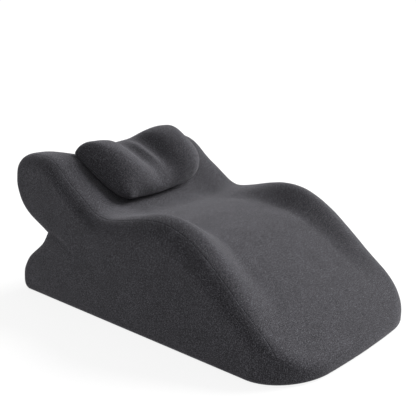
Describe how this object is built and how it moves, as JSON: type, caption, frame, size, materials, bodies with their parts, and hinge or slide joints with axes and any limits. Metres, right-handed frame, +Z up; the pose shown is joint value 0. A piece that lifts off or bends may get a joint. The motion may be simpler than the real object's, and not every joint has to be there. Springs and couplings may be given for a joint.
{
  "type": "contoured foam body support lounger with neck pillow",
  "caption": "S-shaped foam lounger in a zip-off fuzzy knit cover, with a trough between side rims, an overhanging head lobe and a removable butterfly neck pillow",
  "frame": {"origin": "Centre of the bounding box's bottom, on the floor", "axes": "+Z is up, +Y points from the foot end to the head end, +X is across, to the right of someone who looks from the foot end to the head end"},
  "size_m": [0.65, 1.0613, 0.4947],
  "materials": {
    "knit": "fuzzy knit",
    "floor_cloth": "woven, rubber dotted",
    "base_foam": "open cell foam",
    "comfort_foam": "memory foam",
    "pillow_foam": "memory foam",
    "label_cloth": "satin ribbon",
    "hook_and_loop": "hook and loop tape",
    "zip_cloth": "twill tape",
    "zip_coil": "nylon coil",
    "zip_metal": "enamelled"
  },
  "bodies": {
    "lounger": {"base_foam": "base_foam", "comfort_foam": "comfort_foam", "cover_top_panel": "knit", "cover_back_panel": "knit", "cover_side_panel_left": "knit", "cover_side_panel_right": "knit", "cover_floor_panel": "floor_cloth", "care_label": "label_cloth", "backrest_loop_tape": "hook_and_loop", "cover_zip_tape_upper": "zip_cloth", "cover_zip_tape_lower": "zip_cloth", "cover_zip_coil_upper": "zip_coil", "cover_zip_coil_lower": "zip_coil", "cover_zip_stops": "zip_metal"},
    "cover_zip_runner": {"cover_zip_slider": "zip_metal"},
    "cover_zip_tab": {"cover_zip_pull": "zip_metal"},
    "neck_pillow": {"pillow_foam": "pillow_foam", "pillow_front_panel": "knit", "pillow_back_panel": "knit", "pillow_hook_tape": "hook_and_loop", "pillow_zip_tape_upper": "zip_cloth", "pillow_zip_tape_lower": "zip_cloth", "pillow_zip_coil_upper": "zip_coil", "pillow_zip_coil_lower": "zip_coil", "pillow_zip_stops": "zip_metal"},
    "pillow_zip_runner": {"pillow_zip_slider": "zip_metal"},
    "pillow_zip_tab": {"pillow_zip_pull": "zip_metal"}
  },
  "joints": [
    {"name": "cover_zip_slide", "type": "slide", "parent": "lounger", "child": "cover_zip_runner", "axis": [-1, 0, 0], "range_m": [0, 0.5014]},
    {"name": "cover_zip_pull_swing", "type": "hinge", "parent": "cover_zip_runner", "child": "cover_zip_tab", "pos_m": [0.2507, 0.5237, 0.052], "axis": [0, 0, -1], "range_deg": [0, 180]},
    {"name": "pillow_lift", "type": "slide", "parent": "lounger", "child": "neck_pillow", "axis": [-0.0436, -0.4644, 0.8846], "range_m": [0, 0.25]},
    {"name": "pillow_zip_slide", "type": "slide", "parent": "neck_pillow", "child": "pillow_zip_runner", "axis": [-0.9955, -0.0539, -0.0774], "range_m": [0, 0.1144]},
    {"name": "pillow_zip_pull_swing", "type": "hinge", "parent": "pillow_zip_runner", "child": "pillow_zip_tab", "pos_m": [0.05331, 0.41544, 0.44732], "axis": [0.0436, 0.4644, -0.8846], "range_deg": [0, 180]}
  ]
}
